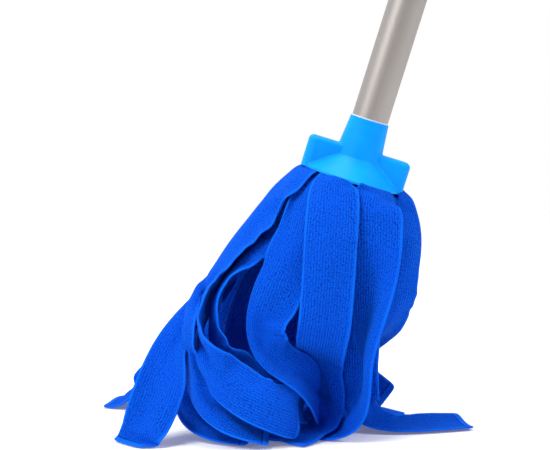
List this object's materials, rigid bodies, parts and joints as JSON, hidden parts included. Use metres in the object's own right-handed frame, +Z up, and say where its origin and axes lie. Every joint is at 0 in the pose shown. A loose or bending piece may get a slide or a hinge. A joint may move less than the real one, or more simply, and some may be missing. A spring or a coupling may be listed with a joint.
{
  "type": "strip mop",
  "caption": "Microfibre strip mop with a lobed plastic screw socket and a plain metal tube handle, leaning as if held, with its strips spread on the floor.",
  "frame": {"origin": "where the handle's axis meets the floor, on the flat underside of the core strip", "axes": "+Z up from the floor, +X the way the handle leans, -Y the front"},
  "size_m": [0.5665, 0.2856, 1.3927],
  "materials": {
    "cap_plastic": "satin injection-moulded polypropylene",
    "plug_plastic": "plain moulded plastic",
    "washer_rubber": "matt rubber",
    "tube_metal": "satin drawn steel tube",
    "screw_steel": "zinc-plated steel",
    "microfibre": "looped microfibre knit"
  },
  "bodies": {
    "head": {"socket_cap": "cap_plastic", "retainer_cone": "cap_plastic", "screw_washer": "screw_steel", "centre_screw": "screw_steel", "outer_strip_1": "microfibre", "outer_strip_2": "microfibre", "outer_strip_3": "microfibre", "outer_strip_4": "microfibre", "outer_strip_5": "microfibre", "outer_strip_6": "microfibre", "outer_strip_7": "microfibre", "middle_strip_1": "microfibre", "middle_strip_2": "microfibre", "middle_strip_3": "microfibre", "middle_strip_4": "microfibre", "middle_strip_5": "microfibre", "middle_strip_6": "microfibre", "middle_strip_7": "microfibre", "inner_strip_1": "microfibre", "inner_strip_2": "microfibre", "inner_strip_3": "microfibre", "inner_strip_4": "microfibre", "core_strip": "microfibre"},
    "washer": {"thread_washer": "washer_rubber"},
    "handle": {"thread_plug": "plug_plastic", "handle_tube": "tube_metal", "hang_cap": "cap_plastic"}
  },
  "joints": [
    {"name": "washer_travel", "type": "slide", "parent": "head", "child": "washer", "axis": [0.2957, 0, 0.9553], "range_m": [0, 0.03]},
    {"name": "handle_turn", "type": "hinge", "parent": "washer", "child": "handle", "pos_m": [0.06565, 0, 0.21207], "axis": [0.2957, 0, 0.9553], "range_deg": [0, 2160]}
  ],
  "couplings": [
    {"joint": "handle_turn", "follows": "washer_travel", "rad_per_m": 1256.6}
  ]
}
